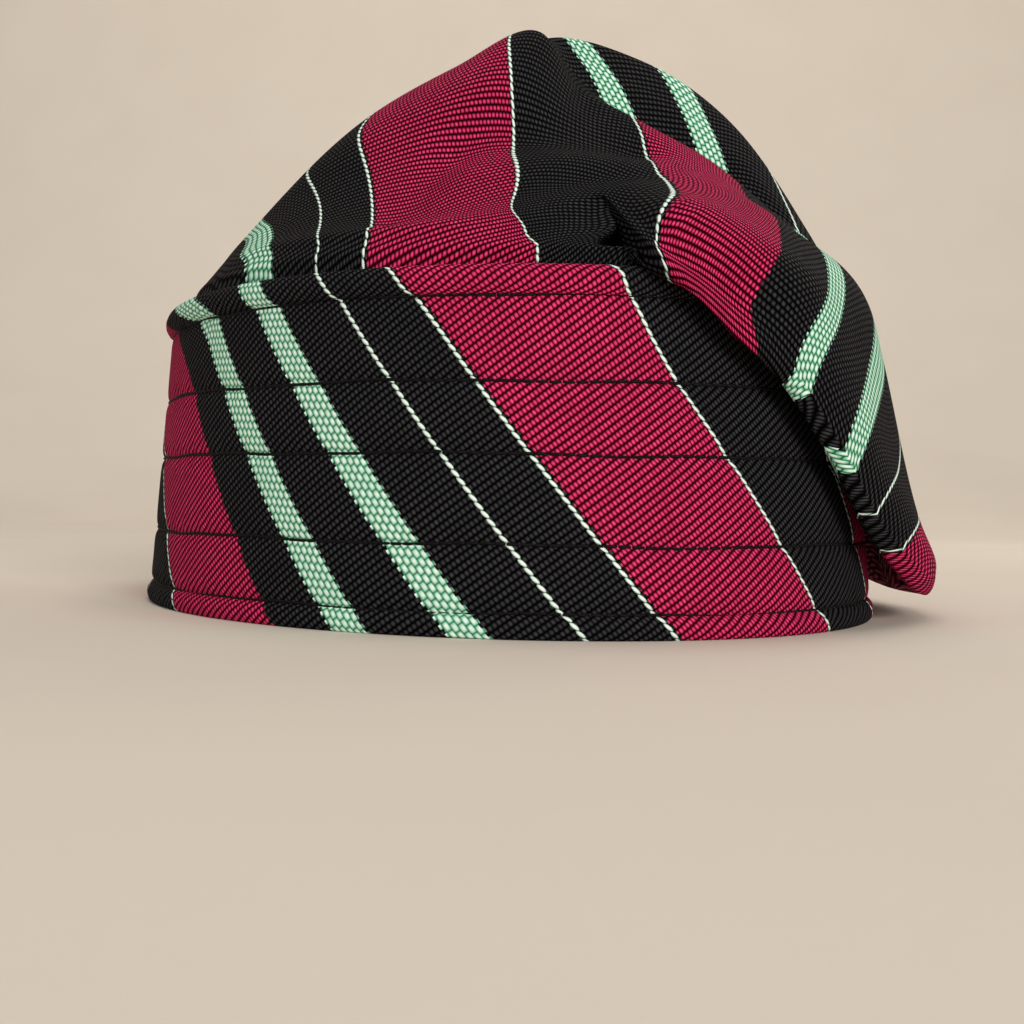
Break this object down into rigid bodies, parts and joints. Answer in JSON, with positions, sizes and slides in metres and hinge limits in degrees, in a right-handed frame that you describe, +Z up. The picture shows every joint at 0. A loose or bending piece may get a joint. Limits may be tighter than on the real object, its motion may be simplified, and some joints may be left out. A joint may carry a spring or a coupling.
{
  "type": "fila cap",
  "caption": "Soft folded cloth cap with a stiff quilted striped headband; its tall crown is pressed over to the side and hangs down outside the band. Worn on the head.",
  "frame": {"origin": "middle of the foot of the cap's box, on the surface that the headband's rim rests on", "axes": "+Z up out of the head opening towards the top of the crown, -Y the wearer's front, +X the wearer's left, where the crown hangs over"},
  "size_m": [0.1926, 0.2178, 0.1503],
  "materials": {
    "band_cloth": "matte ribbed weave",
    "crown_cloth": "matte ribbed weave"
  },
  "bodies": {
    "root": {"band": "band_cloth", "crown": "crown_cloth"}
  },
  "joints": []
}
